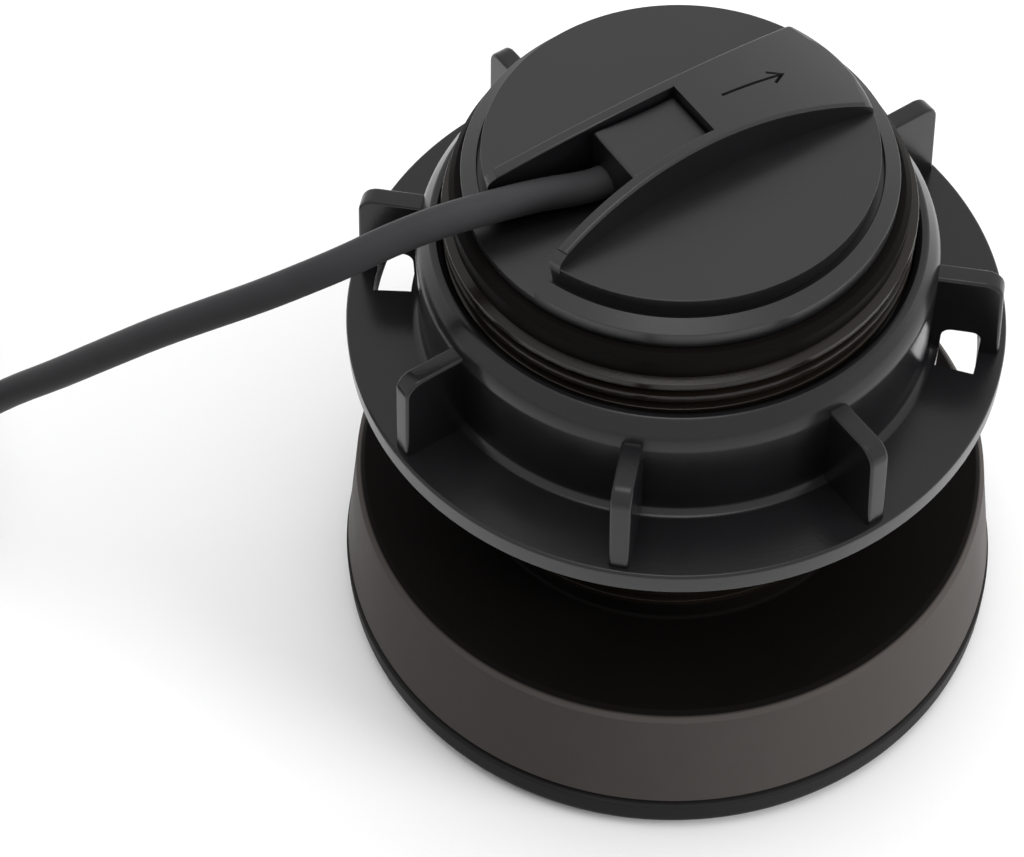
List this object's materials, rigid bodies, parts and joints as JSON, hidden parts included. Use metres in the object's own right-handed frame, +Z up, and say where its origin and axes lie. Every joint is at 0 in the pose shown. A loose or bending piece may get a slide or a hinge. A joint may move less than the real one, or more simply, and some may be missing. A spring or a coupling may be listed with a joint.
{
  "type": "sonar transducer",
  "caption": "Black plastic sonar transducer: a round flat-faced base, a threaded stem with a ribbed hull nut, a ridged screw-free cap, and a coiled cable that ends in a round plug.",
  "frame": {"origin": "centre of the base's underside, on the stem's axis", "axes": "+Z up the stem towards the cap, +X to the picture's right, +Y away from the viewer"},
  "size_m": [0.3374, 0.1374, 0.1182],
  "materials": {
    "housing_plastic": "fine moulded texture",
    "window_plastic": "fine moulded texture",
    "nut_plastic": "fine moulded texture",
    "cap_plastic": "fine moulded texture",
    "clamp_plastic": "fine moulded texture",
    "seal_rubber": "smooth",
    "element_ceramic": "fired, silvered faces",
    "sleeve_foam": "closed-cell",
    "pad_foam": "closed-cell",
    "sensor_brass": "turned",
    "wire_cover": "smooth",
    "fill_resin": "cast",
    "board_laminate": "lacquered",
    "ferrite": "pressed",
    "winding_copper": "enamelled",
    "cable_jacket": "smooth extruded",
    "core_cover": "smooth",
    "tie_cloth": "woven",
    "plug_plastic": "fine moulded texture",
    "pin_brass": "plated"
  },
  "bodies": {
    "root": {"housing": "housing_plastic", "acoustic_window": "window_plastic", "window_seal": "seal_rubber", "piezo_disc": "element_ceramic", "element_sleeve": "sleeve_foam", "backing_pad": "pad_foam", "temperature_sensor": "sensor_brass", "element_leads": "wire_cover", "sensor_leads": "wire_cover", "potting": "fill_resin", "circuit_board": "board_laminate", "transformer_core": "ferrite", "transformer_winding": "winding_copper", "cable_cores": "core_cover", "cable_lead_in": "cable_jacket", "cable_grommet": "seal_rubber", "top_cap": "cap_plastic", "cap_seal": "seal_rubber", "cable_clamp": "clamp_plastic", "hull_nut": "nut_plastic", "cable": "cable_jacket", "cable_coil": "cable_jacket", "cable_end": "cable_jacket", "coil_tie": "tie_cloth", "plug_boot": "seal_rubber", "plug_body": "plug_plastic", "plug_collar": "plug_plastic", "plug_insert": "plug_plastic", "plug_pins": "pin_brass"}
  },
  "joints": []
}
